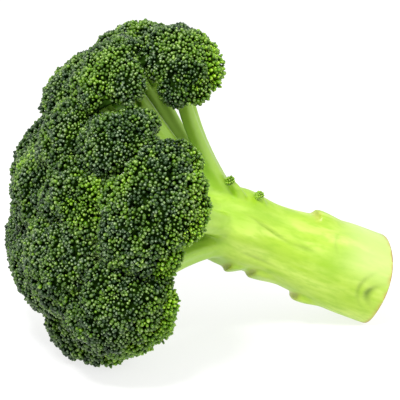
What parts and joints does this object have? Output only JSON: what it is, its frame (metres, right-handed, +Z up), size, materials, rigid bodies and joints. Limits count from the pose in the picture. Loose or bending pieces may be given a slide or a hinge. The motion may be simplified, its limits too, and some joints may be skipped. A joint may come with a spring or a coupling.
{
  "type": "broccoli head",
  "caption": "Fresh broccoli head lying on its side: a domed crown of bud florets on branches that fan out of a thick cut stalk.",
  "frame": {"origin": "middle of the bounding box in X and Y, on the surface that the head lies on", "axes": "+Z up, +X towards the cut end of the stalk, the crown towards -X"},
  "size_m": [0.1914, 0.1674, 0.1614],
  "materials": {
    "stalk_skin": "smooth waxy stalk skin, pale yellow-green",
    "branch_skin": "smooth waxy branch skin, mid yellow-green",
    "buds": "tight waxy flower buds, dark blue-green with a grey bloom"
  },
  "bodies": {
    "root": {"branch_heart_back": "branch_skin", "branch_heart_front": "branch_skin", "branch_heart_top": "branch_skin", "branch_rim_back": "branch_skin", "branch_rim_back_low": "branch_skin", "branch_rim_back_top": "branch_skin", "branch_rim_front": "branch_skin", "branch_rim_front_low": "branch_skin", "branch_rim_top": "branch_skin", "branch_rim_under": "branch_skin", "branch_shoulder_back": "branch_skin", "branch_shoulder_back_top": "branch_skin", "branch_shoulder_front": "branch_skin", "branch_shoulder_low": "branch_skin", "branch_shoulder_top": "branch_skin", "branch_shoulder_under": "branch_skin", "floret_heart_back": "buds", "floret_heart_front": "buds", "floret_heart_top": "buds", "floret_rim_back": "buds", "floret_rim_back_low": "buds", "floret_rim_back_top": "buds", "floret_rim_front": "buds", "floret_rim_front_low": "buds", "floret_rim_top": "buds", "floret_rim_under": "buds", "floret_shoulder_back": "buds", "floret_shoulder_back_top": "buds", "floret_shoulder_front": "buds", "floret_shoulder_low": "buds", "floret_shoulder_top": "buds", "floret_shoulder_under": "buds", "leaf_stub_back": "stalk_skin", "leaf_stub_middle_under": "stalk_skin", "leaf_stub_top": "stalk_skin", "leaf_stub_under": "stalk_skin", "leaf_stub_upper_under": "stalk_skin", "side_shoot_high_buds": "buds", "side_shoot_high_stem": "branch_skin", "side_shoot_low_buds": "buds", "side_shoot_low_stem": "branch_skin", "stalk": "stalk_skin"}
  },
  "joints": []
}
